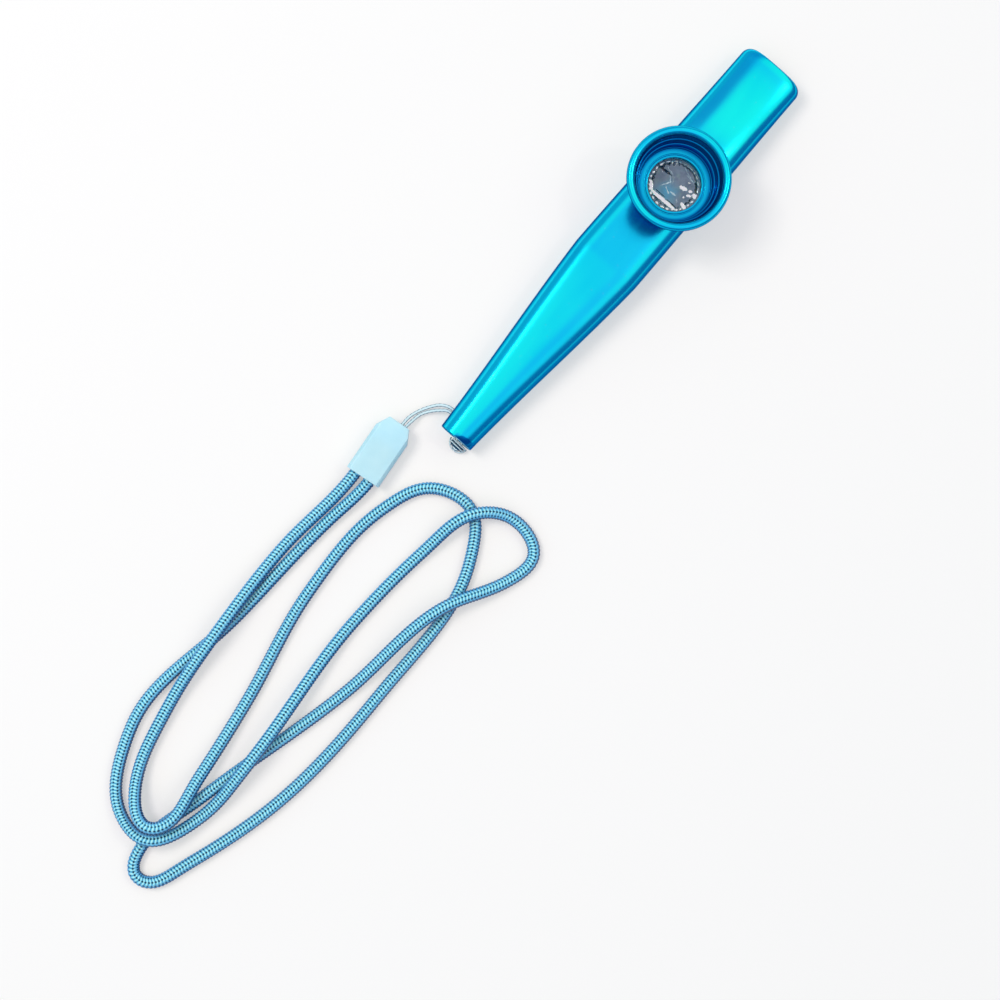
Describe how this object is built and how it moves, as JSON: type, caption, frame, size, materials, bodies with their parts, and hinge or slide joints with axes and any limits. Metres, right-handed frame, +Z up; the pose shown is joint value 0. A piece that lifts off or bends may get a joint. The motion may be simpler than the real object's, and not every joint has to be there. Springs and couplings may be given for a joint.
{
  "type": "kazoo",
  "caption": "Metal kazoo: a tapered tube with a flattened mouthpiece, a screw-down resonator cup over a clear film, and a braided wrist cord.",
  "frame": {"origin": "on the surface that the kazoo lies on, under the middle of the tube's length and width; the cord isn't counted", "axes": "+X along the tube to the mouthpiece, +Y to the side with the small hole for the cord, +Z up to the cup's lip"},
  "size_m": [0.2543, 0.0528, 0.0246],
  "materials": {
    "blue_anodised": "anodised, glossy",
    "hoop": "plain",
    "film": "clear, crinkled",
    "slip_ring": "plain",
    "pale_cord": "twisted, fine",
    "sleeve": "satin",
    "crimp": "plain",
    "braid": "braided"
  },
  "bodies": {
    "kazoo_body": {"body_shell": "blue_anodised", "turret": "blue_anodised", "membrane_hoop": "hoop", "membrane_film": "film", "thin_loop": "pale_cord", "loop_knot": "pale_cord", "sleeve": "sleeve", "crimp": "crimp", "cord": "braid"},
    "slip_ring": {"slip_ring": "slip_ring"},
    "cup": {"cap": "blue_anodised"}
  },
  "joints": [
    {"name": "cap_rise", "type": "slide", "parent": "kazoo_body", "child": "slip_ring", "axis": [0, 0, 1], "range_m": [0, 0.00195]},
    {"name": "cap_turn", "type": "hinge", "parent": "slip_ring", "child": "cup", "pos_m": [0.0204, 0, 0.0138], "axis": [0, 0, 1], "range_deg": [0, 1080]}
  ],
  "couplings": [
    {"joint": "cap_rise", "follows": "cap_turn", "m_per_rad": 0.00010345}
  ]
}
